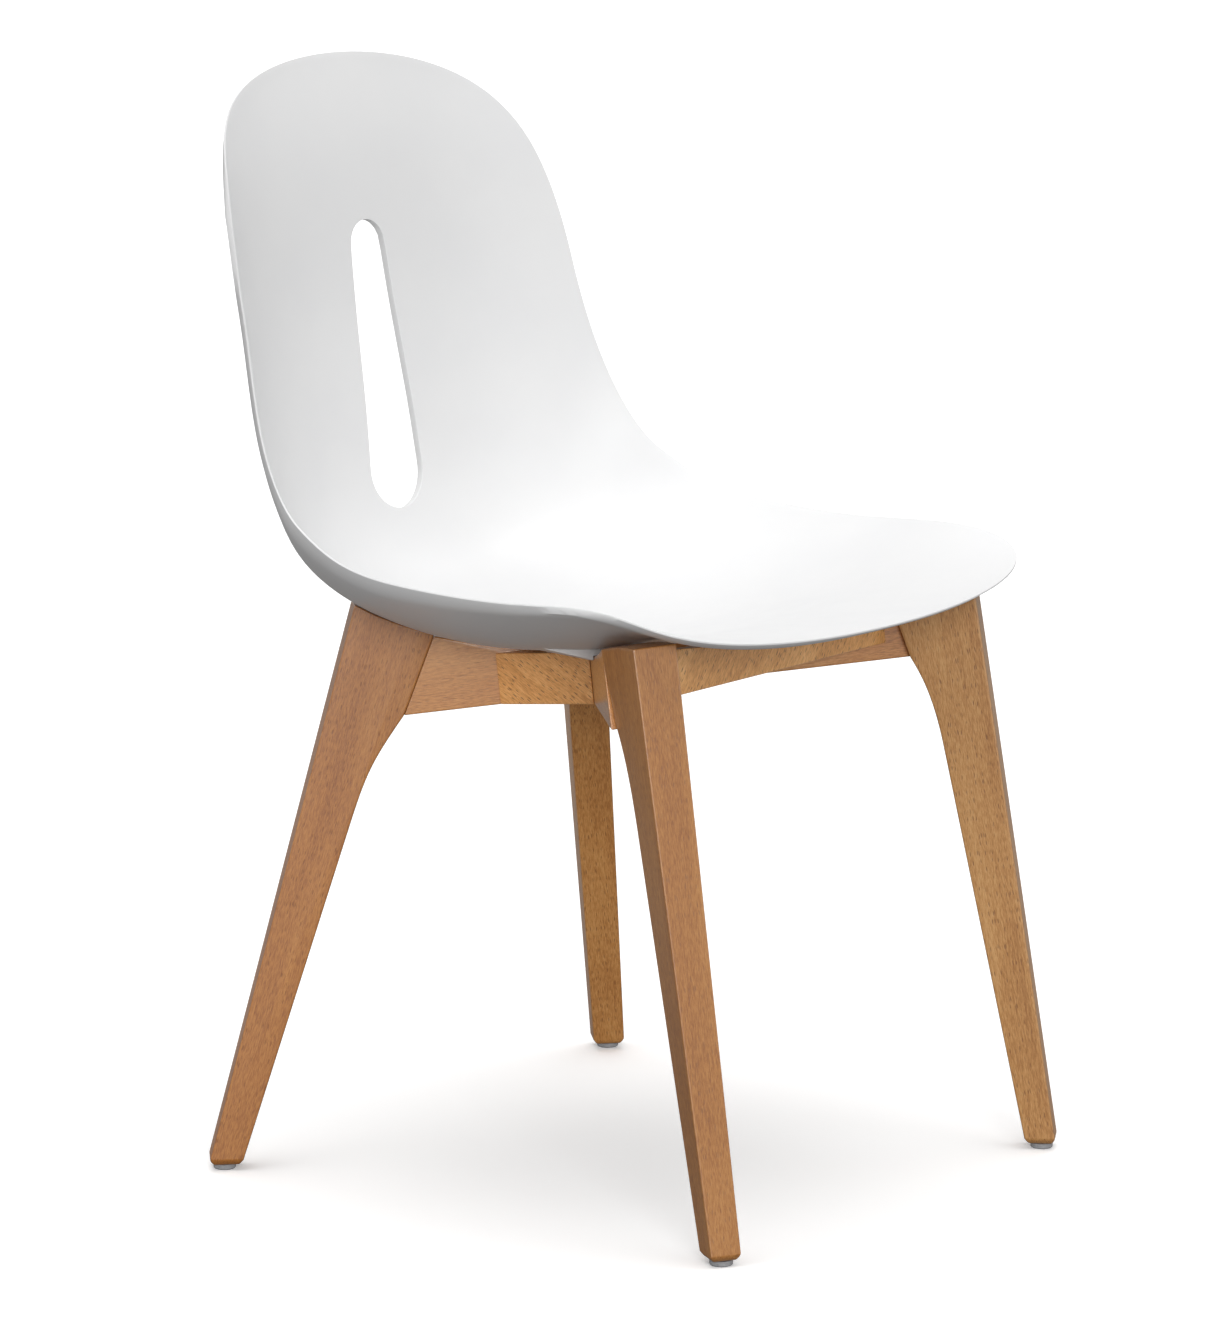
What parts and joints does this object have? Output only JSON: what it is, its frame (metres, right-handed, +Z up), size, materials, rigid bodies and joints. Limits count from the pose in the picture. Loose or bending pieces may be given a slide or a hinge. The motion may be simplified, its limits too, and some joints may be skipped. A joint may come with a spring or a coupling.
{
  "type": "dining chair",
  "caption": "Armless dining chair with a moulded white shell seat, a teardrop slot in the back and a beech cross frame with splayed tapered legs.",
  "frame": {"origin": "on the floor, under the middle of the chair's bounding box", "axes": "+Z up; the sitter faces -Y, so the front edge of the seat is at low Y and the back at high Y; the sitter's left is +X"},
  "size_m": [0.493, 0.5546, 0.8137],
  "materials": {
    "shell_white": "fine satin, moulded in colour",
    "beech": "clear satin lacquer",
    "dowel_beech": "raw, fluted stock",
    "grey_nylon": "plain moulded",
    "zinc_steel": "bright zinc plate",
    "brass": "turned, knurled stock"
  },
  "bodies": {
    "root": {"seat_shell": "shell_white", "beam_rear_right_to_front_left": "beech", "beam_front_right_to_rear_left": "beech", "front_rail": "beech", "side_block_right": "beech", "side_block_left": "beech", "leg_rear_right": "beech", "leg_front_right": "beech", "leg_front_left": "beech", "leg_rear_left": "beech", "dowel_rear_right_lower": "dowel_beech", "dowel_rear_right_upper": "dowel_beech", "dowel_front_right_lower": "dowel_beech", "dowel_front_right_upper": "dowel_beech", "dowel_front_left_lower": "dowel_beech", "dowel_front_left_upper": "dowel_beech", "dowel_rear_left_lower": "dowel_beech", "dowel_rear_left_upper": "dowel_beech", "rail_dowel_right": "dowel_beech", "rail_dowel_left": "dowel_beech", "screw_rear_right": "zinc_steel", "washer_rear_right": "zinc_steel", "insert_rear_right": "brass", "glide_rear_right": "grey_nylon", "nail_rear_right": "zinc_steel", "screw_front_right": "zinc_steel", "washer_front_right": "zinc_steel", "insert_front_right": "brass", "glide_front_right": "grey_nylon", "nail_front_right": "zinc_steel", "screw_front_left": "zinc_steel", "washer_front_left": "zinc_steel", "insert_front_left": "brass", "glide_front_left": "grey_nylon", "nail_front_left": "zinc_steel", "screw_rear_left": "zinc_steel", "washer_rear_left": "zinc_steel", "insert_rear_left": "brass", "glide_rear_left": "grey_nylon", "nail_rear_left": "zinc_steel"}
  },
  "joints": []
}
